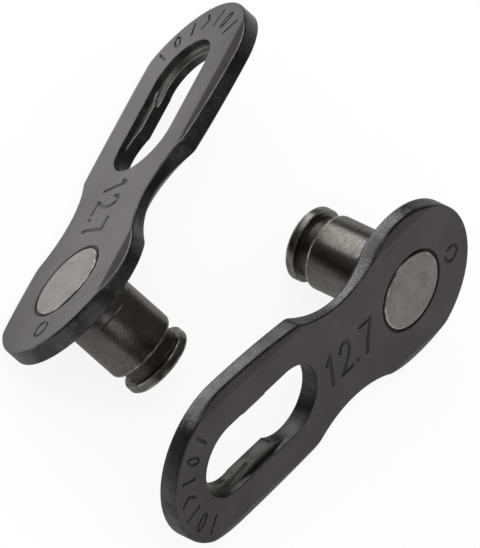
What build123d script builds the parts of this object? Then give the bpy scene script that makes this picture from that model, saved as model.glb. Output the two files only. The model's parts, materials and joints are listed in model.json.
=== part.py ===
from build123d import *

import os
from math import asin, atan2, cos, degrees, radians, sin, sqrt, tan

# A two-piece chain connecting link. Each half is a stamped steel plate with a
# turned pin riveted into its round end. The grooved tip of each pin goes in
# through the keyhole of the other plate and slides along its ledge, until the
# pin's head drops into the round seat, one chain pitch from that plate's pin.
# Both halves are made to the same drawing.
#
# A half is drawn lying on its outer face, in millimetres: x runs from the pin's
# axis to the seat, y across the plate, and z from the outer face into the chain.

pitch = 12.7  # pin axis to seat axis

# Plate
plate_thickness = 0.9
half_width = 4.1  # of both ends, arcs about the pin and about the seat
side_fall = 0.8  # how far the slotted end's sides would curve in by mid-waist
waist_half_width = 2.9
waist_radius = 5.0
shoulder_round = 0.8  # where the waist meets the slotted end
edge_round = 0.08  # round the blank, on both faces

# Facets that thin the outer face along both sides
facet_half_width = 3.55
facet_angle = 19.5

# Conical reliefs in the inner face, over the edges of the waist, that leave
# the next link of the chain room to lean over in a bend
relief_radius = 3.2
relief_reach = 0.8  # in from the waist's edge
relief_depth = 0.41  # at the waist's edge

# Keyhole
entry_to_seat = 4.0
ledge_depth = 0.3  # from the outer face

# Pin
pin_radius = 1.785
shoulder_length = 3.86  # from the plate's inner face to the groove
shoulder_corner = 0.2  # round, at the shoulder's free end
groove_depth = 0.355
head_relief = 0.015  # how far the head stays inside the shoulder's surface
head_length = 0.5
head_chamfer = 0.12

# Spigot that goes through the plate, its end spread into a countersink and dressed flush
spigot_step = 0.185  # all round, where the shoulder seats against the plate
rivet_spread = 0.3  # all round
rivet_depth = 0.2
rivet_chamfer = 0.05
rivet_gap = 0.16  # the ring left open round it, at the face

# Clearances between one half's pin and the other half's keyhole
neck_to_channel = 0.035
neck_to_seat = 0.095
head_to_pocket = 0.15
head_to_ledge = 0.04  # along the pin

# How the two halves lie on the floor: where each pin's axis meets the outer
# face, seen from above, and the way that half's plate points from there
left_spot = (-6.9, -6.3)
left_turn_angle = 86.5
right_spot = (7.3, 0.8)
right_turn_angle = -109.5

# What follows from the sizes above
waist_y = waist_half_width + waist_radius
waist_x = sqrt((half_width + waist_radius) ** 2 - waist_y**2)
side_radius = ((pitch - waist_x) ** 2 + side_fall**2) / (2 * side_fall)
entry_x = pitch - entry_to_seat
neck_radius = pin_radius - groove_depth
head_radius = pin_radius - head_relief
spigot_radius = pin_radius - spigot_step
rivet_radius = spigot_radius + rivet_spread
pocket_radius = head_radius + head_to_pocket
groove_length = plate_thickness - ledge_depth + head_to_ledge
groove_z = plate_thickness + shoulder_length
head_z = groove_z + groove_length
tip_z = head_z + head_length
head_rim_z = tip_z - head_chamfer


def both_sides(shape):
    return shape + mirror(shape, Plane.XZ)


def bar(start_x, end_x, width):
    """A rectangle that lies centred along the x axis."""
    return Pos((start_x + end_x) / 2, 0) * Rectangle(end_x - start_x, width)


def funnel(low_radius, high_radius, height, stands=Align.MIN):
    """A cone cut short, standing on z = 0 or, with Align.MAX, hanging below it."""
    return Cone(low_radius, high_radius, height, align=(Align.CENTER, Align.CENTER, stands))


def meeting_point(start, start_reach, end, end_reach):
    """The point at these distances from both, to the left of the way from start to end."""
    way = end - start
    along = (way.length**2 + start_reach**2 - end_reach**2) / (2 * way.length)
    aside = sqrt(start_reach**2 - along**2)
    return start + way.normalized() * along + way.rotate(Axis.Z, 90).normalized() * aside


def plate_outline():
    """Round end, waist, shoulder, side and slotted end: arcs that run on from each other."""
    waist = Vector(waist_x, waist_y)
    side = Vector(pitch, half_width - side_radius)
    shoulder = meeting_point(waist, waist_radius + shoulder_round, side, side_radius - shoulder_round)

    # Where two arcs meet lies on the line through their centres
    waist_start = waist.normalized() * half_width
    waist_end = waist + (shoulder - waist).normalized() * waist_radius
    side_start = side + (shoulder - side).normalized() * side_radius

    upper_edge = [
        RadiusArc((-half_width, 0), waist_start, half_width),
        RadiusArc(waist_start, waist_end, -waist_radius),
        RadiusArc(waist_end, side_start, shoulder_round),
        RadiusArc(side_start, (pitch, half_width), side_radius),
        RadiusArc((pitch, half_width), (pitch + half_width, 0), half_width),
    ]
    return make_face(upper_edge + [mirror(arc, Plane.XZ) for arc in upper_edge])


def side_facets():
    """Wedges along both sides, whose thin edges lie in the outer face."""
    far = 2 * half_width
    drop = (far - facet_half_width) * tan(radians(facet_angle))
    wedge = Polygon((facet_half_width, 0), (far, 0), (far, drop), align=None)
    return both_sides(extrude(Plane.YZ * wedge, 2 * pitch, both=True))


def waist_reliefs():
    """Funnels that open on the inner face."""
    relief_y = waist_half_width - relief_reach + relief_radius
    relief = funnel(relief_radius - relief_reach, relief_radius, relief_depth, Align.MAX)
    return both_sides(Pos(waist_x, relief_y, plate_thickness) * relief)


def keyhole():
    """Entry hole, channel and seat, with the ledge and the head's recess in the outer face."""
    entry = Pos(entry_x, 0) * Circle(pocket_radius)
    channel = bar(entry_x, pitch, 2 * (neck_radius + neck_to_channel))
    seat = Pos(pitch, 0) * Circle(neck_radius + neck_to_seat)
    ledge = entry + bar(entry_x, pitch, 2 * pocket_radius)
    recess = Pos(pitch, 0) * Circle(pocket_radius)
    through = extrude(entry + channel + seat, plate_thickness)
    return through + extrude(ledge + recess, ledge_depth) + extrude(recess, head_length)


def pin_hole():
    countersink = funnel(rivet_radius + rivet_gap, spigot_radius, rivet_depth)
    return extrude(Circle(spigot_radius), plate_thickness) + countersink


def link_plate():
    blank = extrude(plate_outline(), plate_thickness)
    rims = blank.edges() - blank.edges().filter_by(Axis.Z)
    blank = fillet(rims, edge_round)
    return blank - side_facets() - waist_reliefs() - keyhole() - pin_hole()


def rivet_pin():
    """One turned piece: riveted spigot, shoulder, groove and head."""
    section = Polygon(
        (0, 0),
        (rivet_radius - rivet_chamfer, 0),
        (rivet_radius, rivet_chamfer),
        (spigot_radius, rivet_depth),
        (spigot_radius, plate_thickness),
        (pin_radius, plate_thickness),
        (pin_radius, groove_z),
        (neck_radius, groove_z),
        (neck_radius, head_z),
        (head_radius, head_z),
        (head_radius, head_rim_z),
        (head_radius - head_chamfer, tip_z),
        (0, tip_z),
        align=None,
    )
    corner = section.vertices().sort_by_distance((pin_radius, groove_z))[0]
    section = fillet(corner, shoulder_corner)
    return revolve(Plane.XZ * section, Axis.Z)


def lean_and_height():
    """How a half lies on the floor, on the long inner edge of its plate and the rim of its head.

    The floor's line goes through the rim and just touches the round of that edge.
    Gives the plate's lean back from upright, in degrees, and the height over the
    floor of the point that the half is drawn from.
    """
    across = half_width - edge_round - head_radius
    along = head_rim_z - plate_thickness + edge_round
    lean = atan2(across, along) + asin(edge_round / sqrt(across**2 + along**2))
    return degrees(lean), head_radius * cos(lean) + head_rim_z * sin(lean)


def at_rest(spot, turn_angle):
    lean, height = lean_and_height()
    return Pos(*spot, height) * Rot(Z=turn_angle) * Rot(X=90 + lean)


plate = link_plate()
pin = rivet_pin()
nodes = {
    "left_link_plate": at_rest(left_spot, left_turn_angle) * plate,
    "left_rivet_pin": at_rest(left_spot, left_turn_angle) * pin,
    "right_link_plate": at_rest(right_spot, right_turn_angle) * plate,
    "right_rivet_pin": at_rest(right_spot, right_turn_angle) * pin,
}

# The part's own origin is on the floor, under the middle of the pair
middle = Compound(list(nodes.values())).bounding_box().center()
to_origin = Pos(-middle.X, -middle.Y)

os.makedirs("parts", exist_ok=True)
for name, piece in nodes.items():
    export_step(to_origin * piece, f"parts/{name}.step")
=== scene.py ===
import json
from math import asin, atan2, ceil, cos, pi, radians, sin, sqrt, tan

import bmesh
import bpy
import numpy as np
from mathutils import Matrix, Vector
from mathutils.geometry import delaunay_2d_cdt


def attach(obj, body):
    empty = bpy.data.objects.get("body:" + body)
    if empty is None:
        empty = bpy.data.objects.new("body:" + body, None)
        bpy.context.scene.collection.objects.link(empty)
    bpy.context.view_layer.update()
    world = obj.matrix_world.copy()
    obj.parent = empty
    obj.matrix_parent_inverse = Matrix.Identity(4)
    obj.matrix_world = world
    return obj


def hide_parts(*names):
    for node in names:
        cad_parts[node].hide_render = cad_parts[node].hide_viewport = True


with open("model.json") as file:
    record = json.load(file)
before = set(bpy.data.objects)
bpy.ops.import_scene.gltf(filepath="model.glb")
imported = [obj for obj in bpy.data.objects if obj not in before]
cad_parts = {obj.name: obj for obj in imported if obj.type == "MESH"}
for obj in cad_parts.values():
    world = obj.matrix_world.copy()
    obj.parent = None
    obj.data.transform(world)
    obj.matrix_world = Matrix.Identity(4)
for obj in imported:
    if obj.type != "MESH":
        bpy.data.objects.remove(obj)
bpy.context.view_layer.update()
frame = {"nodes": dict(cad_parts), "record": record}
mm = 0.001
print("frame loaded:", ", ".join(sorted(frame["nodes"])))

# Each half is drawn in millimetres, lying on its outer face: x runs from the pin to the
# seat, y across the plate, and z from the outer face into the chain.

plate = {
    "pitch": 12.7,
    "thickness": 0.9,
    "halfWidth": 4.1,
    "sideFall": 0.8,
    "waistHalfWidth": 2.9,
    "waistRadius": 5.0,
    "shoulderRound": 0.8,
    "facetHalfWidth": 3.55,
    "facetAngle": 19.5,
    "reliefRadius": 3.2,
    "reliefReach": 0.8,
    "reliefDepth": 0.41,
    "entryToSeat": 4.0,
    "pocketRadius": 1.92,
    "ledgeDepth": 0.3,
    "recessDepth": 0.5,
    "channelHalfWidth": 1.465,
    "seatRadius": 1.525,
    "spigotHole": 1.6,
    "countersinkRadius": 2.03,
    "countersinkDepth": 0.2,
    "countersinkRings": ((1.3, 0), (1.09, 0), (1.03, 0.006), (0.97, 0.02)),  # share of its width, drop
    "gapShadeShare": 1.03,  # share of the countersink's width out to which it is coloured near-black: painted shade for the gap round the rivet
    "stepOffsets": (-0.03, -0.02, 0.0, 0.035),  # across the step down from the ledge to the recess
    "stepFoot": 0.01,  # how much is rounded off at the step's foot and lip
    "stepLip": 0.03,
    "outerRoll": 0.08,  # rounding left by the press and by tumbling
    "innerRoll": 0.08,
    "lipRoll": 0.04,
    "ledgeRoll": 0.04,
    "crease": 0.035,  # softness of the bends between flats
    "bendOffsets": (-0.09, -0.03, 0, 0.03, 0.09),  # of the curves drawn along a bend
    "reliefRing": -0.3,  # offset of one more ring, on the relief's slope
    "bendReach": 5,  # how far a facet's bend is drawn beyond both axes
    "hold": 0.06,  # width of the flat kept beside a rolled edge
    "edgeClearance": 0.03,  # between a bend's curves and the rolled edge that they run to
    "stepClearance": 0.01,  # and between the step's rings and the pocket's wall
    "spacing": 0.16,  # of points along an edge
    "shoulderSpacing": 0.08,
    "holeSpacing": 0.12,
    "stepSpacing": 0.1,
    "hornPoints": 9,  # points on each run of the keyhole, the same at every offset
    "channelPoints": 16,
    "seatPoints": 41,
    "wallRows": 5,
    "seamReach": 0.0002,  # a point this near an edge lies on it
}
entryX = plate["pitch"] - plate["entryToSeat"]
waistY = plate["waistHalfWidth"] + plate["waistRadius"]
waistX = sqrt((plate["halfWidth"] + plate["waistRadius"]) ** 2 - waistY**2)
reliefY = plate["waistHalfWidth"] - plate["reliefReach"] + plate["reliefRadius"]
sinkWall = plate["countersinkRadius"] - plate["spigotHole"]
rollTurns = np.radians([0, 22.5, 45, 67.5, 90])  # steps round a rolled edge


def halfPlace(side):  # where a half lies, from its mounts in the record
    mounts = {mount["name"]: mount for mount in frame["record"]["mounts"]}
    pinMount, keyholeMount = mounts[side + "_pin_shoulder"], mounts[side + "_keyhole"]
    z = Vector(pinMount["axis"]).normalized()
    x = -Vector(keyholeMount["axis"])
    x = (x - z * x.dot(z)).normalized()
    seat = Vector(keyholeMount["pos_m"])
    origin = seat - x * plate["pitch"] * mm - z * plate["thickness"] * mm
    axes = Matrix((x, z.cross(x), z)).transposed().to_4x4()
    return Matrix.Translation(origin) @ axes


# Flat curves are arrays of points, sampled alike at every offset so that they can be joined

def arc(centre, radius, start, end, grow=0.0, spacing=None):
    steps = max(2, ceil(abs(end - start) * radius / (spacing or plate["spacing"])))
    angles = np.linspace(start, end, steps + 1)
    return np.stack([centre[0] + (radius + grow) * np.cos(angles), centre[1] + (radius + grow) * np.sin(angles)], 1)


def fan(centre, radius, start, end, count):  # an arc with a set number of points
    angles = np.linspace(start, end, count)[:, None]
    return np.array(centre) + radius * np.concatenate([np.cos(angles), np.sin(angles)], 1)


def line(start, end):
    start, end = np.array(start, float), np.array(end, float)
    steps = max(1, ceil(np.linalg.norm(end - start) / plate["spacing"]))
    return start + (end - start) * np.linspace(0, 1, steps + 1)[:, None]


def chain(*runs):  # one open curve, without the points that two runs share
    return np.concatenate([run[:-1] for run in runs[:-1]] + [runs[-1]])


def flipped(points):  # the mirror image on the plate's other side
    return points[::-1] * [1, -1]


def closed(points):
    return points[:-1] if np.allclose(points[0], points[-1]) else points


def circle(centre, radius, grow=0.0, spacing=None):
    return closed(arc(centre, radius, 0, 2 * pi, grow, spacing))


def outline(inset=0.0):
    halfWidth, pitch = plate["halfWidth"], plate["pitch"]
    sideRadius = ((pitch - waistX) ** 2 + plate["sideFall"] ** 2) / (2 * plate["sideFall"])
    waist, side = Vector((waistX, waistY)), Vector((pitch, halfWidth - sideRadius))
    way = side - waist
    near, far = plate["waistRadius"] + plate["shoulderRound"], sideRadius - plate["shoulderRound"]
    along = (way.length**2 + near**2 - far**2) / (2 * way.length)
    aside = Vector((-way.y, way.x)).normalized() * sqrt(near**2 - along**2)
    shoulder = waist + way.normalized() * along + aside
    waistTurn = atan2(waistY, waistX)
    shoulderTurn = atan2(shoulder.y - waist.y, shoulder.x - waist.x)
    sideTurn = atan2(shoulder.y - side.y, shoulder.x - side.x)
    upper = chain(
        arc((0, 0), halfWidth, pi, waistTurn, -inset),
        arc(waist, plate["waistRadius"], waistTurn + pi, shoulderTurn + 2 * pi, inset),
        arc(shoulder, plate["shoulderRound"], shoulderTurn + pi, sideTurn, -inset, plate["shoulderSpacing"]),
        arc(side, sideRadius, sideTurn, pi / 2, -inset),
        arc((pitch, 0), halfWidth, pi / 2, 0, -inset),
    )
    return closed(chain(upper, flipped(upper)))


def keyholeRuns(grow=0.0):
    # the entry's back, then from there round the seat and back along the other side
    entry, seat = (entryX, 0), (plate["pitch"], 0)
    channel = plate["channelHalfWidth"] + grow
    entryTurn = asin(channel / (plate["pocketRadius"] + grow))
    seatTurn = pi - asin(channel / (plate["seatRadius"] + grow))
    back = arc(entry, plate["pocketRadius"], pi / 2, 1.5 * pi, grow)
    horn = fan(entry, plate["pocketRadius"] + grow, 1.5 * pi, 2 * pi - entryTurn, plate["hornPoints"])
    seatArc = fan(seat, plate["seatRadius"] + grow, -seatTurn, seatTurn, plate["seatPoints"])
    run = horn[-1] + (seatArc[0] - horn[-1]) * np.linspace(0, 1, plate["channelPoints"])[:, None]
    return back, chain(horn, run, seatArc, flipped(run), flipped(horn))


def pocketRuns(grow=0.0):  # the same two runs, of the ledge's and the recess's wall
    entry, seat = (entryX, 0), (plate["pitch"], 0)
    radius = plate["pocketRadius"] + grow
    back = arc(entry, plate["pocketRadius"], pi / 2, 1.5 * pi, grow)
    side = line((entryX, -radius), (plate["pitch"], -radius))
    return back, chain(side, arc(seat, plate["pocketRadius"], -pi / 2, pi / 2, grow), flipped(side))


def whole(runs):
    return closed(chain(*runs))


# Heights over the outer face's plane, z, of the plate's surfaces

def bend(over, slope, softness):  # 0 below the bend and a slope above it
    return slope * (over + np.sqrt(over**2 + softness**2)) / 2


def outerHeight(points):
    facets = bend(np.abs(points[:, 1]) - plate["facetHalfWidth"], tan(radians(plate["facetAngle"])), plate["crease"])
    return facets + markDepth(points)


def innerHeight(points):
    reach = plate["reliefRadius"] - np.hypot(points[:, 0] - waistX, np.abs(points[:, 1]) - reliefY)
    return plate["thickness"] - bend(reach, plate["reliefDepth"] / plate["reliefReach"], plate["crease"])


def ledgeHeight(points):
    x, y = points[:, 0], points[:, 1]
    pitch, channel = plate["pitch"], plate["channelHalfWidth"]
    fromSeat = np.hypot(x - pitch, y)
    step = plate["pocketRadius"] + np.array(plate["stepOffsets"])
    ledge, recess = plate["ledgeDepth"], plate["recessDepth"]
    floor = np.interp(fromSeat, step, [recess, recess - plate["stepFoot"], ledge + plate["stepLip"], ledge])
    fromEntry = np.hypot(x - entryX, y) - plate["pocketRadius"]
    fromChannel = np.hypot(np.maximum(np.maximum(entryX - x, x - pitch), 0), np.maximum(np.abs(y) - channel, 0))
    fromHole = np.minimum(np.minimum(fromEntry, fromSeat - plate["seatRadius"]), fromChannel)
    rest = np.clip(plate["ledgeRoll"] - fromHole, 0, plate["ledgeRoll"])
    return floor + plate["ledgeRoll"] - np.sqrt(plate["ledgeRoll"] ** 2 - rest**2)


# Marks cut into the outer face: the pitch in millimetres, register marks and an open ring

marks = {
    "numberHalf": 0.125,  # half the width of a stroke
    "tipHalf": 0.08,
    "depth": 0.065,
    "section": ((0, 1), (0.5, 0.8), (0.92, 0)),  # share of a stroke's half width, share of its depth
    "floorShare": 0.8,  # of a stroke's half width whose floor is coloured dark
    "loopShares": (1.5, 1, 0.8, 0.5),  # of its half width, where lines run round a stroke
    "glyphWidth": 0.48,  # of its height
    "glyphGap": 0.12,
    "number": "12.7",
    "numberStart": 6.2,  # x where the number begins; it reads towards the pin
    "numberFoot": -1.08,
    "numberHeight": 1.72,
    "tipRadius": 2.74,  # foot of the marks round the slotted end
    "tipHeight": 0.86,
    "tipTurns": (-54, -36, -18, 0, 18, 36, 54),
    "tipSigns": "|0|<|0|",
    "ringPlace": (-2.88, 0.0),
    "ringRadius": 0.4,
    "ringTurns": (0.3 * pi, 2.05 * pi),
    "ringSpacing": 0.08,
    "capPoints": 7,  # round a stroke's end
}
glyphs = {  # strokes on a square whose foot is at 0 and top at 1
    "0": [[(0.5 + 0.42 * sin(turn), 0.5 - 0.5 * cos(turn)) for turn in np.radians(range(20, 346, 25))]],
    "1": [[(0.5, 1.0), (0.5, 0.0)], [(0.5, 1.0), (0.18, 0.76)]],
    "2": [[(0.08, 0.76), (0.14, 0.9), (0.3, 0.99), (0.5, 1.0), (0.72, 0.95), (0.86, 0.8), (0.84, 0.62),
           (0.7, 0.45), (0.4, 0.22), (0.06, 0.0)], [(0.06, 0.0), (0.94, 0.0)]],
    "7": [[(0.06, 1.0), (0.94, 1.0)], [(0.94, 1.0), (0.66, 0.55), (0.5, 0.28), (0.42, 0.0)]],
    ".": [[(0.5, 0.03), (0.5, 0.06)]],
    "|": [[(0.5, 0.0), (0.5, 1.0)]],
    "<": [[(0.9, 1.0), (0.1, 0.5)], [(0.1, 0.5), (0.9, 0.0)]],
}
narrowGlyphs = {".": 0.3}


def glyphSize(letter, height):
    return height * marks["glyphWidth"] * narrowGlyphs.get(letter, 1.0)


def glyphStrokes(letter, foot, reading, upward, height):
    # reading and upward are unit directions on the plate; foot is the start of the glyph's foot line
    width = glyphSize(letter, height)
    return [
        np.array([foot + reading * u * width + upward * v * height for u, v in stroke]) for stroke in glyphs[letter]
    ]


def markStrokes():  # each with half its width
    strokes = []
    height = marks["numberHeight"]
    foot, reading, upward = np.array([marks["numberStart"], marks["numberFoot"]]), np.array([-1, 0]), np.array([0, 1])
    for letter in marks["number"]:
        made = glyphStrokes(letter, foot, reading, upward, height)
        strokes += [(stroke, marks["numberHalf"]) for stroke in made]
        foot = foot + reading * (glyphSize(letter, height) + marks["glyphGap"] * height)
    height = marks["tipHeight"]
    for letter, turn in zip(marks["tipSigns"], np.radians(marks["tipTurns"])):
        upward, reading = np.array([cos(turn), sin(turn)]), np.array([sin(turn), -cos(turn)])
        middle = np.array([plate["pitch"], 0]) + upward * marks["tipRadius"]
        made = glyphStrokes(letter, middle - reading * (glyphSize(letter, height) / 2), reading, upward, height)
        strokes += [(stroke, marks["tipHalf"]) for stroke in made]
    ring = arc(marks["ringPlace"], marks["ringRadius"], *marks["ringTurns"], 0, marks["ringSpacing"])
    return strokes + [(ring, marks["tipHalf"])]


def fromStrokes(points):  # distance to the nearest stroke's middle line, as a share of its half width
    nearest = np.full(len(points), np.inf)
    for stroke, half in strokes:
        for start, end in zip(stroke[:-1], stroke[1:]):
            way = end - start
            share = np.clip(((points - start) @ way) / (way @ way), 0, 1)
            nearest = np.minimum(nearest, np.linalg.norm(points - start - share[:, None] * way, axis=1) / half)
    return nearest


def markDepth(points):
    shares, depths = zip(*marks["section"])
    return marks["depth"] * np.interp(fromStrokes(points), shares, depths)


def strokeLoop(stroke, reach):  # a closed line round a stroke
    ways = np.diff(stroke, axis=0)
    ways = ways / np.linalg.norm(ways, axis=1)[:, None]
    at = np.concatenate([ways[:1], ways[:-1] + ways[1:], ways[-1:]])
    at = at / np.linalg.norm(at, axis=1)[:, None]
    aside = np.stack([-at[:, 1], at[:, 0]], 1) * reach
    caps = []
    for end, way in ((stroke[-1], at[-1]), (stroke[0], -at[0])):
        turn = atan2(way[1], way[0])
        angles = np.linspace(turn + pi / 2, turn - pi / 2, marks["capPoints"])[1:-1]
        caps.append(end + reach * np.stack([np.cos(angles), np.sin(angles)], 1))
    return np.concatenate([stroke + aside, caps[0], (stroke - aside)[::-1], caps[1]])


strokes = markStrokes()


def inside(points, loop):  # by counting crossings of the loop
    x, y = points[:, 0][:, None], points[:, 1][:, None]
    x0, y0 = loop[:, 0], loop[:, 1]
    x1, y1 = np.roll(x0, -1), np.roll(y0, -1)
    spans = (y0 > y) != (y1 > y)
    with np.errstate(divide="ignore", invalid="ignore"):
        hits = x < (x1 - x0) * (y - y0) / (y1 - y0) + x0
    return (np.sum(spans & hits, axis=1) % 2).astype(bool)


meshing = {
    "snap": 1e-6,  # in mm, how near two points of a surface count as one
    "merge": 0.0004,  # and where patches join
    "collapse": 0.0002,  # a shorter edge is closed up
    "sharpTurn": 38,  # degrees between faces from which an edge is sharp
    "finishTurn": 12,  # and where the finish changes
    "evenness": 90,  # weight of the modifier that evens the shading
}


def lifted(points, z):
    return np.concatenate([points, np.broadcast_to(np.asarray(z, float).reshape(-1, 1), (len(points), 1))], 1)


class Skin:  # one surface of the plate, seen from above: curves, then a triangulation between them
    def __init__(self, height):
        self.height = height
        self.points, self.heights, self.edges = [], [], []

    def curve(self, points, extra=None, loop=True, keep=None):
        # extra is added to the surface's own height; keep drops the points that it says no to
        z = self.height(points) + (0 if extra is None else extra)
        shown = np.ones(len(points), bool) if keep is None else keep(points)
        numbers = {}
        for n in range(len(points)):
            if shown[n]:
                numbers[n] = len(self.points)
                self.points.append(points[n])
                self.heights.append(z[n] if extra is not None else None)
        last = len(points) if loop else len(points) - 1
        for n in range(last):
            m = (n + 1) % len(points)
            if n in numbers and m in numbers:
                self.edges.append((numbers[n], numbers[m]))

    def faces(self, within, without, kinds):
        flat = [Vector(p) for p in self.points]
        made, _, triangles, origins, _, _ = delaunay_2d_cdt(flat, self.edges, [], 0, meshing["snap"])
        points = np.array([(p.x, p.y) for p in made])
        z = self.height(points)
        for n, origin in enumerate(origins):
            known = [self.heights[o] for o in origin if self.heights[o] is not None]
            if known:
                z[n] = known[0]
        triangles = np.array(triangles)
        middles = points[triangles].mean(1)
        keep = inside(middles, within)
        for hole in without:
            keep &= ~inside(middles, hole)
        triangles, middles = triangles[keep], middles[keep]
        return lifted(points, z), triangles.tolist(), kinds(middles).tolist()


def strip(rows, kind, loop=True):  # quads between curves that have the same number of points
    count = len(rows[0])
    last = count if loop else count - 1
    faces = [
        (r * count + n, r * count + (n + 1) % count, (r + 1) * count + (n + 1) % count, (r + 1) * count + n)
        for r in range(len(rows) - 1) for n in range(last)
    ]
    return np.concatenate(rows), faces, [kind] * len(faces)


def seam(surface, curve):  # for each run of an open curve, the points of a surface that lie along it
    flat, runs = surface[:, :2], []
    for start, end in zip(curve[:-1], curve[1:]):
        way = end - start
        share = (flat - start) @ way / (way @ way)
        aside = np.abs((flat - start) @ [-way[1], way[0]]) / np.linalg.norm(way)
        near = plate["seamReach"]
        beyond = near / np.linalg.norm(way)
        on = np.flatnonzero((aside < near) & (share > -beyond) & (share < 1 + beyond))
        runs.append(surface[on[np.argsort(share[on])]])
    return runs


def wallBetween(upper, lower, kind):  # one face a run, with every point of both its seams
    points, faces = [], []
    for high, low in zip(upper, lower):
        first = sum(len(p) for p in points)
        points.append(np.concatenate([high, low[::-1]]))
        faces.append(tuple(range(first, first + len(points[-1]))))
    return np.concatenate(points), faces, [kind] * len(faces)


def build(name, patches, finishes, place):  # joins patches into one mesh and puts it in place
    mesh = bpy.data.meshes.new(name)
    points, faces, kinds = [], [], []
    for patchPoints, patchFaces, patchKinds in patches:
        first = sum(len(p) for p in points)
        points.append(np.asarray(patchPoints))
        faces += [tuple(first + n for n in face) for face in patchFaces]
        kinds += patchKinds
    mesh.from_pydata((np.concatenate(points) * mm).tolist(), [], faces)
    mesh.polygons.foreach_set("material_index", kinds)
    work = bmesh.new()
    work.from_mesh(mesh)
    bmesh.ops.remove_doubles(work, verts=work.verts, dist=meshing["merge"] * mm)
    bmesh.ops.dissolve_degenerate(work, edges=work.edges, dist=meshing["collapse"] * mm)
    loose = [v for v in work.verts if not v.link_faces]
    bmesh.ops.delete(work, geom=loose, context="VERTS")
    bmesh.ops.recalc_face_normals(work, faces=work.faces)
    for face in work.faces:
        face.smooth = True
    for edge in work.edges:
        sameFinish = len({face.material_index for face in edge.link_faces}) == 1
        edge.smooth = edge.calc_face_angle(pi) < radians(meshing["sharpTurn" if sameFinish else "finishTurn"])
    openEdges = sum(not e.is_manifold for e in work.edges)
    work.to_mesh(mesh)
    work.free()
    piece = bpy.data.objects.new(name, mesh)
    bpy.context.scene.collection.objects.link(piece)
    piece.matrix_world = place
    for finish in finishes:
        mesh.materials.append(finish)
    shading = piece.modifiers.new("even shading", "WEIGHTED_NORMAL")
    shading.keep_sharp = True
    shading.weight = meshing["evenness"]
    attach(piece, "root")
    print(name, "faces:", len(mesh.polygons), "open edges:", openEdges)
    return piece


faceKind, wallKind, edgeKind, markKind, ledgeKind, sinkKind, slotKind = range(7)


def rolled(curveAt, roll):
    # (points, drop) of each ring round a rolled edge: one holds the flat beside it, the rest go round to the wall
    rings = [(curveAt(roll * (1 - sin(turn))), roll * (1 - cos(turn))) for turn in rollTurns]
    return [(curveAt(roll + plate["hold"]), 0)] + rings


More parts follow.
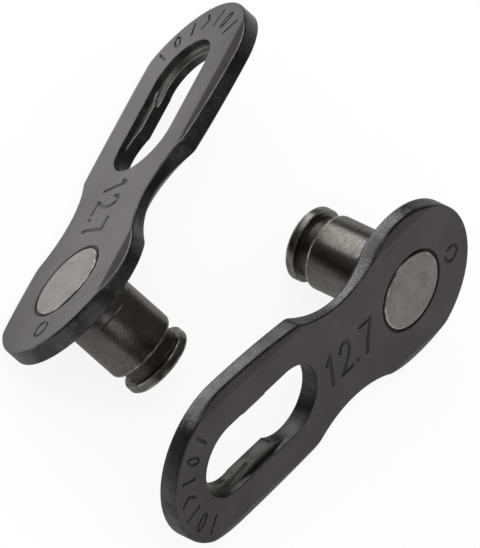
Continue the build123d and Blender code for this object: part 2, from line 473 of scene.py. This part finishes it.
def linkPlate(name, finishes, place):
    def outerKinds(middles):
        kinds = np.full(len(middles), faceKind)
        kinds[fromStrokes(middles) < marks["floorShare"]] = markKind
        kinds[~inside(middles, outline(plate["outerRoll"]))] = edgeKind
        kinds[inside(middles, whole(pocketRuns(plate["lipRoll"])))] = edgeKind
        # the countersink inside this ring takes the near-black painted shade of the gap round the rivet
        gapShadeReach = plate["spigotHole"] + sinkWall * plate["gapShadeShare"]
        kinds[np.hypot(middles[:, 0], middles[:, 1]) < gapShadeReach] = sinkKind
        return kinds

    def innerKinds(middles):
        kinds = np.full(len(middles), faceKind)
        kinds[~inside(middles, outline(plate["innerRoll"]))] = edgeKind
        return kinds

    def ledgeKinds(middles):
        return np.full(len(middles), ledgeKind)

    def clearOfOuterEdge(points):
        return inside(points, outline(plate["outerRoll"] + plate["edgeClearance"]))

    def clearOfInnerEdge(points):
        return inside(points, outline(plate["innerRoll"] + plate["edgeClearance"]))

    def clearOfPocket(points):
        return inside(points, whole(pocketRuns(-plate["stepClearance"])))

    edge, pocketEdge, holeEdge = outline(), whole(pocketRuns()), whole(keyholeRuns())
    bore = circle((0, 0), plate["spigotHole"], spacing=plate["holeSpacing"])

    # outer face
    outer = Skin(outerHeight)
    for points, drop in rolled(outline, plate["outerRoll"]):
        outer.curve(points, drop)
    for points, drop in rolled(lambda grow: whole(pocketRuns(grow)), plate["lipRoll"]):
        outer.curve(points, drop)
    for share, drop in plate["countersinkRings"]:
        outer.curve(circle((0, 0), plate["spigotHole"] + sinkWall * share, spacing=plate["holeSpacing"]), drop)
    outer.curve(bore, plate["countersinkDepth"])
    start, end = -plate["bendReach"], plate["pitch"] + plate["bendReach"]
    for side in (-1, 1):
        for offset in plate["bendOffsets"]:
            y = side * (plate["facetHalfWidth"] + offset)
            outer.curve(line((start, y), (end, y)), loop=False, keep=clearOfOuterEdge)
    for stroke, half in strokes:
        for share in marks["loopShares"]:
            outer.curve(strokeLoop(stroke, half * share))
        outer.curve(stroke, loop=False)
    outerPatch = outer.faces(edge, [pocketEdge, bore], outerKinds)

    # inner face
    inner = Skin(innerHeight)
    for points, drop in rolled(outline, plate["innerRoll"]):
        inner.curve(points, -drop)
    for points, drop in rolled(lambda grow: whole(keyholeRuns(grow)), plate["lipRoll"]):
        inner.curve(points, -drop)
    inner.curve(bore, 0)
    for side in (-1, 1):
        for offset in (plate["reliefRing"], *plate["bendOffsets"]):
            inner.curve(circle((waistX, side * reliefY), plate["reliefRadius"], offset), keep=clearOfInnerEdge)
    innerPatch = inner.faces(edge, [holeEdge, bore], innerKinds)

    # ledge and recess
    ledge = Skin(ledgeHeight)
    for points, _ in rolled(lambda grow: whole(keyholeRuns(grow)), plate["ledgeRoll"]):
        ledge.curve(points)
    ledge.curve(pocketEdge)
    for offset in plate["stepOffsets"]:
        ring = circle((plate["pitch"], 0), plate["pocketRadius"], offset, plate["stepSpacing"])
        ledge.curve(ring, keep=clearOfPocket)
    ledgePatch = ledge.faces(pocketEdge, [holeEdge], ledgeKinds)
    patches = [outerPatch, innerPatch, ledgePatch]

    # walls
    top = lifted(edge, outerHeight(edge) + plate["outerRoll"])
    foot = lifted(edge, innerHeight(edge) - plate["innerRoll"])
    rows = [top + (foot - top) * share for share in np.linspace(0, 1, plate["wallRows"])]
    patches.append(strip(rows, wallKind))

    (back, pocket), (_, hole) = pocketRuns(), keyholeRuns()
    patches.append(wallBetween(seam(outerPatch[0], pocket), seam(ledgePatch[0], pocket), slotKind))
    patches.append(wallBetween(seam(ledgePatch[0], hole), seam(innerPatch[0], hole), slotKind))
    backRows = [outerHeight(back) + plate["lipRoll"], ledgeHeight(pocket)[0], innerHeight(back) - plate["lipRoll"]]
    patches.append(strip([lifted(back, z) for z in backRows], slotKind, loop=False))
    patches.append(strip([lifted(bore, plate["countersinkDepth"]), lifted(bore, plate["thickness"])], wallKind))
    return build(name, patches, finishes, place)


pin = {
    "radius": 1.785,
    "shoulderFoot": 0.9,
    "groove": 4.76,
    "neckRadius": 1.43,
    "head": 5.40,
    "headRadius": 1.77,
    "tip": 5.90,
    "headChamfer": 0.12,
    "shoulderCorner": 0.2,
    "spigotRadius": 1.6,
    "rivetRadius": 1.9,
    "rivetDepth": 0.2,
    "rivetProud": 0.03,
    "rivetDish": -0.018,  # height of its middle
    "dishRadius": 1.2,
    "dishRound": 2.0,
    "rivetRound": 0.09,
    "spreadWall": (0.02, 0.08),  # how far the rivet's spread narrows, and up to what height
    "spreadRound": 0.02,
    "footChamfer": (0.03, 0.04),  # of the shoulder, across and along
    "seam": 2.12,  # where the ground journal starts
    "seamDepth": 0.02,
    "seamWidth": 0.05,
    "seamLip": 0.004,
    "seamRound": 0.03,
    "seamFootRound": 0.01,
    "seamRise": 4,  # widths of the seam in which the journal comes to its full size
    "neckRound": 0.05,
    "headFootRound": 0.07,
    "headRound": 0.09,
    "tipRound": 0.08,
    "roundSteps": 5,
    "sides": 160,
}
rivetKind, bodyKind, headKind, grooveKind, rimKind, neckKind = range(6)


def roundedProfile(corners):
    # each corner is radius, height, rounding and the finishes of the run that leads to it and of the rounding
    profile, kinds = [], []
    for n, (r, z, rounding, kind, cornerKind) in enumerate(corners):
        here = Vector((r, z))
        if rounding == 0 or n in (0, len(corners) - 1):
            profile.append(here)
            kinds.append(kind)
            continue
        before, after = Vector(corners[n - 1][:2]) - here, Vector(corners[n + 1][:2]) - here
        half = before.angle(after) / 2
        cut = rounding / tan(half)
        centre = here + (before.normalized() + after.normalized()).normalized() * (rounding / sin(half))
        start, end = here + before.normalized() * cut - centre, here + after.normalized() * cut - centre
        for step in range(pin["roundSteps"] + 1):
            turned = start.slerp(end, step / pin["roundSteps"]).normalized() * rounding
            profile.append(centre + turned)
            kinds.append(cornerKind if step else kind)
    return profile, kinds


def rivetPin(name, finishes, place):
    r, z = pin["radius"], pin["seam"]
    spreadIn, spreadFoot = pin["spreadWall"]
    chamferIn, chamferUp = pin["footChamfer"]
    corners = [
        (0.0, pin["rivetDish"], 0, rivetKind, rivetKind),
        (pin["dishRadius"], -pin["rivetProud"], pin["dishRound"], rivetKind, rivetKind),
        (pin["rivetRadius"], -pin["rivetProud"], pin["rivetRound"], rivetKind, rimKind),
        (pin["rivetRadius"] - spreadIn, spreadFoot, pin["spreadRound"], rimKind, grooveKind),
        (pin["spigotRadius"], pin["rivetDepth"], 0, grooveKind, grooveKind),
        (pin["spigotRadius"], pin["shoulderFoot"], 0, grooveKind, grooveKind),
        (r - chamferIn, pin["shoulderFoot"], 0, grooveKind, grooveKind),
        (r, pin["shoulderFoot"] + chamferUp, 0, bodyKind, bodyKind),
        (r, z - pin["seamWidth"], pin["seamRound"], bodyKind, bodyKind),
        (r - pin["seamDepth"], z, pin["seamFootRound"], bodyKind, bodyKind),
        (r - pin["seamLip"], z + pin["seamWidth"], pin["seamRound"], bodyKind, bodyKind),
        (r, z + pin["seamRise"] * pin["seamWidth"], 0, bodyKind, bodyKind),
        (r, pin["groove"], pin["shoulderCorner"], bodyKind, rimKind),
        (pin["neckRadius"], pin["groove"], pin["neckRound"], neckKind, neckKind),
        (pin["neckRadius"], pin["head"], pin["neckRound"], neckKind, neckKind),
        (pin["headRadius"], pin["head"], pin["headFootRound"], headKind, rimKind),
        (pin["headRadius"], pin["tip"] - pin["headChamfer"], pin["headRound"], headKind, rimKind),
        (pin["headRadius"] - pin["headChamfer"], pin["tip"], pin["tipRound"], rimKind, headKind),
        (0.0, pin["tip"], 0, headKind, headKind),
    ]
    profile, kinds = roundedProfile(corners)
    sides = pin["sides"]
    turns = np.arange(sides) * 2 * pi / sides
    rows = [np.stack([p.x * np.cos(turns), p.x * np.sin(turns), np.full(sides, p.y)], 1) for p in profile[1:-1]]
    patches = [strip(rows[n:n + 2], kinds[n + 2]) for n in range(len(rows) - 1)]
    for end, row, kind in ((profile[0], rows[0], kinds[1]), (profile[-1], rows[-1], kinds[-1])):
        points = np.concatenate([row, [[0, 0, end.y]]])
        patches.append((points, [(n, (n + 1) % sides, sides) for n in range(sides)], [kind] * sides))
    return build(name, patches, finishes, place)


class Wire:  # a socket that arithmetic can be written with
    def __init__(self, finish, socket):
        self.finish, self.socket = finish, socket

    def maths(self, operation, other=0.0, turned=False):
        first, second = (other, self) if turned else (self, other)
        return self.finish.add("ShaderNodeMath", {"operation": operation}, {0: first, 1: second})

    def __add__(self, other):
        return self.maths("ADD", other)

    def __sub__(self, other):
        return self.maths("SUBTRACT", other)

    def __rsub__(self, other):
        return self.maths("SUBTRACT", other, True)

    def __mul__(self, other):
        return self.maths("MULTIPLY", other)

    __radd__, __rmul__ = __add__, __mul__


noiseShift = 40  # how far apart the parts of a pattern can lie that two pieces show


class Finish:  # one material or world and its nodes
    def __init__(self, owner):
        owner.use_nodes = True
        self.tree = owner.node_tree
        self.tree.nodes.clear()

    def add(self, kind, settings=None, inputs=None, output=0):
        node = self.tree.nodes.new(kind)
        for name, value in (settings or {}).items():
            setattr(node, name, value)
        for name, value in (inputs or {}).items():
            if isinstance(value, Wire):
                self.tree.links.new(value.socket, node.inputs[name])
            else:
                node.inputs[name].default_value = value
        return Wire(self, node.outputs[output]) if node.outputs else node

    def axis(self, vector, name):
        return self.add("ShaderNodeSeparateXYZ", {}, {0: vector}, name)

    def mix(self, share, first, second):  # of two colours
        return self.add("ShaderNodeMix", {"data_type": "RGBA"}, {0: share, 6: first, 7: second}, 2)

    def drawn(self, stretch=(1, 1, 1)):  # drawing coordinates in millimetres
        coords = self.add("ShaderNodeTexCoord", output="Object")
        scale = tuple(s / mm for s in stretch)
        return self.add("ShaderNodeVectorMath", {"operation": "MULTIPLY"}, {0: coords, 1: scale})

    def noise(self, scale, detail=3.0, rough=0.5, stretch=(1, 1, 1), twist=0.0):
        # each piece shows its own part of the pattern
        shift = noiseShift * self.add("ShaderNodeObjectInfo", output="Random")
        place = self.add("ShaderNodeVectorMath", {"operation": "ADD"}, {0: self.drawn(stretch), 1: shift})
        return self.add("ShaderNodeTexNoise", {}, {
            "Vector": place, "Scale": scale, "Detail": detail, "Roughness": rough, "Distortion": twist,
        })

    def between(self, value, low, high, first=0.0, second=1.0):  # a smooth step
        return self.add("ShaderNodeMapRange", {"interpolation_type": "SMOOTHSTEP"}, {
            "Value": value, "From Min": low, "From Max": high, "To Min": first, "To Max": second,
        })

    def bump(self, height, strength, distance, normal=None):
        inputs = {"Height": height, "Strength": strength, "Distance": distance * mm}
        if normal:
            inputs["Normal"] = normal
        return self.add("ShaderNodeBump", {}, inputs)

    def steel(self, colour, roughness, normal):
        shader = self.add("ShaderNodeBsdfPrincipled", {}, {
            "Base Color": colour, "Roughness": roughness, "Normal": normal, "Metallic": 1.0,
        })
        self.add("ShaderNodeOutputMaterial", {}, {"Surface": shader})


def newFinish(name):
    material = bpy.data.materials.new(name)
    return material, Finish(material)


def grey(level):
    return (level, level, level, 1)


tones = {  # of each finish: its darkest and lightest, then what lies over them
    "satinPlate": ((0.132, 0.124, 0.128, 1), (0.16, 0.151, 0.155, 1), grey(0.24)),
    "shearedWall": ((0.095, 0.092, 0.093, 1), (0.15, 0.146, 0.147, 1), grey(0.25), grey(0.32)),
    "slotWall": ((0.095, 0.096, 0.094, 1), (0.165, 0.166, 0.163, 1)),
    "wornEdge": ((0.12, 0.114, 0.116, 1), (0.21, 0.203, 0.204, 1)),
    "markGroove": (grey(0.055), grey(0.14)),
    "coinedLedge": ((0.31, 0.32, 0.305, 1), (0.46, 0.465, 0.45, 1), grey(0.45)),
    "rivetFace": ((0.39, 0.385, 0.375, 1), (0.51, 0.502, 0.488, 1), (0.25, 0.25, 0.235, 1), grey(0.16)),
    "groundPin": ((0.215, 0.207, 0.187, 1), (0.31, 0.302, 0.285, 1), (0.09, 0.085, 0.075, 1), (0.5, 0.487, 0.465, 1)),
    "oiledNeck": ((0.1, 0.095, 0.083, 1), (0.2, 0.193, 0.175, 1)),
    "oiledHead": ((0.26, 0.253, 0.235, 1), (0.4, 0.393, 0.375, 1)),
    "rubbedRim": ((0.38, 0.373, 0.358, 1), (0.78, 0.77, 0.75, 1)),
    "paintedGapShade": ((0.025, 0.024, 0.021, 1), (0.065, 0.061, 0.054, 1)),
}


def satinPlate():
    material, finish = newFinish("satinPlate")
    dark, light, scuff = tones["satinPlate"]
    cloud = finish.noise(0.45)
    grain = finish.noise(12.0, 4.0, 0.6)
    colour = finish.mix(finish.between(cloud, 0.3, 0.7), dark, light)
    colour = finish.mix(finish.between(grain, 0.6, 0.85) * 0.3, colour, scuff)
    finish.steel(colour, 0.27 + 0.06 * grain, finish.bump(grain, 0.1, 0.01))
    return material


def shearedWall():
    material, finish = newFinish("shearedWall")
    dark, light, wearAndSheen, tear = tones["shearedWall"]
    sheen = finish.noise(1.4, 4.0, 0.55, (1, 1, 0.35), 0.3)
    fleck = finish.noise(8.0, 4.0, 0.65, (1, 1, 0.6))
    zone = finish.noise(0.55, 2.0)
    torn = finish.between(fleck, 0.48, 0.62) * finish.between(zone, 0.42, 0.6)
    colour = finish.mix(finish.between(sheen, 0.3, 0.7), dark, light)
    # lighter grey patches where the zone noise is high: partly wear, partly painted reflection that makes the wall
    # brighter in places
    colour = finish.mix(finish.between(zone, 0.42, 0.62) * 0.5, colour, wearAndSheen)
    colour = finish.mix(torn * 0.5, colour, tear)
    finish.steel(colour, 0.28 + 0.1 * zone, finish.bump(torn, 0.3, 0.02, finish.bump(sheen, 0.1, 0.03)))
    return material


def slotWall():
    material, finish = newFinish("slotWall")
    drag = finish.noise(2.0, 4.0, 0.6, (1, 1, 0.2))
    colour = finish.mix(finish.between(drag, 0.35, 0.7), *tones["slotWall"])
    finish.steel(colour, 0.36 + 0.1 * drag, finish.bump(drag, 0.15, 0.03))
    return material


def wornEdge():
    material, finish = newFinish("wornEdge")
    rub = finish.noise(1.6)
    colour = finish.mix(finish.between(rub, 0.35, 0.7), *tones["wornEdge"])
    finish.steel(colour, 0.26 + 0.08 * rub, finish.bump(rub, 0.05, 0.01))
    return material


def markGroove():
    material, finish = newFinish("markGroove")
    grain = finish.noise(3.0)
    colour = finish.mix(grain, *tones["markGroove"])
    finish.steel(colour, 0.34 + 0.1 * grain, finish.bump(grain, 0.2, 0.01))
    return material


def coinedLedge():
    material, finish = newFinish("coinedLedge")
    dark, light, fleck = tones["coinedLedge"]
    cloud = finish.noise(0.9, 4.0, 0.6)
    flecks = finish.noise(7.0, rough=0.6)
    colour = finish.mix(finish.between(cloud, 0.35, 0.65), dark, light)
    colour = finish.mix(finish.between(flecks, 0.68, 0.76) * 0.7, colour, fleck)
    finish.steel(colour, 0.42 + 0.1 * cloud, finish.bump(flecks, 0.15, 0.02))
    return material


def rivetFace():
    material, finish = newFinish("rivetFace")
    dark, light, stain, pit = tones["rivetFace"]
    cloud = finish.noise(0.9, 5.0, 0.55, twist=1.2)
    pits = finish.noise(5.0, 2.0)
    colour = finish.mix(finish.between(cloud, 0.3, 0.7), dark, light)
    smudge = finish.noise(1.1, twist=1.5)
    colour = finish.mix(finish.between(smudge, 0.52, 0.72) * 0.45, colour, stain)
    colour = finish.mix(finish.between(pits, 0.64, 0.8) * 0.5, colour, pit)
    finish.steel(colour, 0.38 + 0.12 * cloud, finish.bump(cloud, 0.08, 0.04, finish.bump(pits, 0.1, 0.02)))
    return material


def groundPin():
    material, finish = newFinish("groundPin")
    dark, light, pit, polish = tones["groundPin"]
    turned = finish.noise(1.0, 5.0, 0.7, (0.25, 0.25, 8.0))
    oil = finish.noise(0.5)
    pits = finish.noise(6.0, 3.0, 0.6, (1, 1, 1.5))
    colour = finish.mix(finish.between(oil, 0.3, 0.7), dark, light)
    colour = finish.mix(finish.between(pits, 0.55, 0.7) * 0.5, colour, pit)
    colour = finish.mix(finish.between(pits, 0.44, 0.32) * 0.35, colour, polish)
    finish.steel(colour, 0.19 + 0.16 * turned, finish.bump(turned, 0.2, 0.03, finish.bump(pits, 0.12, 0.02)))
    return material


def oiledNeck():
    material, finish = newFinish("oiledNeck")
    turned = finish.noise(1.0, 4.0, 0.6, (0.3, 0.3, 6.0))
    colour = finish.mix(turned, *tones["oiledNeck"])
    finish.steel(colour, 0.36 + 0.1 * turned, finish.bump(turned, 0.2, 0.02))
    return material


def oiledHead():
    material, finish = newFinish("oiledHead")
    flecks = finish.noise(2.6)
    colour = finish.mix(finish.between(flecks, 0.35, 0.7), *tones["oiledHead"])
    finish.steel(colour, 0.25 + 0.08 * flecks, finish.bump(flecks, 0.08, 0.02))
    return material


def rubbedRim():
    material, finish = newFinish("rubbedRim")
    flecks = finish.noise(2.0)
    colour = finish.mix(finish.between(flecks, 0.4, 0.62), *tones["rubbedRim"])
    finish.steel(colour, 0.24 + 0.08 * flecks, finish.bump(flecks, 0.08, 0.02))
    return material


# near-black painted shade for the gap round the rivet: on the plate's countersink, and on the pin's spread, spigot
# and shoulder foot
def paintedGapShade():
    material, finish = newFinish("paintedGapShade")
    grain = finish.noise(3.0, 4.0)
    colour = finish.mix(grain, *tones["paintedGapShade"])
    finish.steel(colour, 0.4 + 0.1 * grain, finish.bump(grain, 0.2, 0.02))
    return material


studio = {
    "floorSize": 4.0,  # m
    "floorDrop": 0.01,  # mm under the halves, so that nothing flickers where they touch it
    "floorTone": 0.9,
    "cameraFill": 0.88,  # share of plain white in what the camera sees of the floor; the rest takes shadow
    "steelFill": 0.85,  # share of its drawn brightness in what steel mirrors of the floor
    "brightSide": 155.0,  # azimuth towards which the floor is bright, as steel reflects it
    "bright": 0.82,
    "dim": 0.29,
    "turnStart": 2.0,  # mm towards the bright side, where it changes
    "turnEnd": 14.0,
    "lightPatch": 32.0,  # mm from the middle to where the bright side ends
    "patchCore": 0.4,  # share of that way on which it keeps its brightness
    "frontShade": 0.8,  # how much of it is left in front, nearer the camera
    "frontStart": -14.0,  # mm along y, from where it gets brighter
    "frontEnd": 2.0,
    "room": 0.078,  # what steel mirrors above the floor
    "air": 1.0,  # soft light from all round on everything else
}


def makeFloor():
    size = studio["floorSize"] / 2
    mesh = bpy.data.meshes.new("floor")
    mesh.from_pydata([(-size, -size, 0), (size, -size, 0), (size, size, 0), (-size, size, 0)], [], [(0, 1, 2, 3)])
    floor = bpy.data.objects.new("floor", mesh)
    floor.location.z = -studio["floorDrop"] * mm
    bpy.context.scene.collection.objects.link(floor)
    material, finish = newFinish("floor")
    toCamera = finish.add("ShaderNodeLightPath", output="Is Camera Ray")
    toSteel = finish.add("ShaderNodeLightPath", output="Is Glossy Ray")
    drawn = finish.drawn()
    turn = radians(studio["brightSide"])
    brightWay = (cos(turn), sin(turn), 0)
    towards = finish.add("ShaderNodeVectorMath", {"operation": "DOT_PRODUCT"}, {0: drawn, 1: brightWay}, "Value")
    away = finish.add("ShaderNodeVectorMath", {"operation": "LENGTH"}, {0: drawn}, "Value")
    nearness = finish.between(away, studio["patchCore"] * studio["lightPatch"], studio["lightPatch"], 1.0, 0.0)
    side = finish.between(towards, studio["turnStart"], studio["turnEnd"], 0.0, studio["bright"] - studio["dim"])
    depth = finish.axis(drawn, "Y")
    front = finish.between(depth, studio["frontStart"], studio["frontEnd"], studio["frontShade"], 1.0)
    lit = finish.add("ShaderNodeBsdfDiffuse", {}, {"Color": grey(studio["floorTone"])})
    white = finish.add("ShaderNodeEmission", {}, {"Color": grey(1.0), "Strength": 1.0})
    brightness = (studio["dim"] + side * nearness) * front
    reflected = finish.add("ShaderNodeEmission", {}, {"Color": brightness, "Strength": 1.0})
    seen = finish.add("ShaderNodeMixShader", {}, {0: studio["cameraFill"] * toCamera, 1: lit, 2: white})
    surface = finish.add("ShaderNodeMixShader", {}, {0: studio["steelFill"] * toSteel, 1: seen, 2: reflected})
    finish.add("ShaderNodeOutputMaterial", {}, {"Surface": surface})
    mesh.materials.append(material)


def makeWorld():
    world = bpy.data.worlds.new("studio")
    bpy.context.scene.world = world
    finish = Finish(world)
    toCamera = finish.add("ShaderNodeLightPath", output="Is Camera Ray")
    toSteel = finish.add("ShaderNodeLightPath", output="Is Glossy Ray")
    air = finish.add("ShaderNodeBackground", {}, {"Color": grey(1.0), "Strength": studio["air"]})
    room = finish.add("ShaderNodeBackground", {}, {"Color": grey(1.0), "Strength": studio["room"]})
    backdrop = finish.add("ShaderNodeBackground", {}, {"Color": grey(1.0), "Strength": 1.0})
    around = finish.add("ShaderNodeMixShader", {}, {0: toSteel, 1: air, 2: room})
    surface = finish.add("ShaderNodeMixShader", {}, {0: toCamera, 1: around, 2: backdrop})
    finish.add("ShaderNodeOutputWorld", {}, {"Surface": surface})


softboxes = {  # azimuth and elevation in degrees as seen from the object, distance and size in mm, brightness
    "key": (146, 30, 110, (118, 52), 1.7),
    "top": (0, 85, 130, (60, 60), 0.6),
    "side": (10, 12, 120, (90, 50), 0.27),
    "front": (-48, 28, 120, (60, 50), 0.5),
}


def makeLights():
    for name, (azimuth, elevation, distance, size, radiance) in softboxes.items():
        away = Vector((
            cos(radians(elevation)) * cos(radians(azimuth)),
            cos(radians(elevation)) * sin(radians(azimuth)),
            sin(radians(elevation)),
        ))
        light = bpy.data.lights.new(name, "AREA")
        light.shape = "RECTANGLE"
        light.size, light.size_y = size[0] * mm, size[1] * mm
        light.energy = radiance * pi * light.size * light.size_y
        box = bpy.data.objects.new(name, light)
        bpy.context.scene.collection.objects.link(box)
        box.location = away * distance * mm
        box.rotation_mode = "QUATERNION"
        box.rotation_quaternion = away.to_track_quat("Z", "Y")


camera = {
    "elevation": 56.5,
    "azimuth": 1.1,
    "roll": 25.2,
    "lens": 1000.0,
    "distance": 682.5,
    "target": (-0.38, 2.82, 0.0),
    "clip": (0.05, 20.0),  # m
}


def makeCamera():
    elevation, azimuth = radians(camera["elevation"]), radians(camera["azimuth"])
    right = Vector((cos(azimuth), -sin(azimuth), 0))
    back = Vector((-sin(azimuth) * cos(elevation), -cos(azimuth) * cos(elevation), sin(elevation)))
    axes = Matrix((right, back.cross(right), back)).transposed().to_4x4()
    lens = bpy.data.cameras.new("camera")
    lens.lens = camera["lens"]
    lens.clip_start, lens.clip_end = camera["clip"]
    eye = bpy.data.objects.new("camera", lens)
    bpy.context.scene.collection.objects.link(eye)
    place = Matrix.Translation(Vector(camera["target"]) * mm + back * camera["distance"] * mm)
    eye.matrix_world = place @ axes @ Matrix.Rotation(radians(camera["roll"]), 4, "Z")
    bpy.context.scene.camera = eye


plateFinishes = [satinPlate(), shearedWall(), wornEdge(), markGroove(), coinedLedge(), paintedGapShade(), slotWall()]
pinFinishes = [rivetFace(), groundPin(), oiledHead(), plateFinishes[sinkKind], rubbedRim(), oiledNeck()]
for side in ("left", "right"):
    place = halfPlace(side)
    platePiece = linkPlate(side + "LinkPlate", plateFinishes, place)
    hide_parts(side + "_link_plate")
    pinPiece = rivetPin(side + "RivetPin", pinFinishes, place)
    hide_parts(side + "_rivet_pin")
print("both halves made")

makeFloor()
makeWorld()
makeLights()
makeCamera()
bpy.context.scene.view_settings.view_transform = "Standard"
print("studio made")
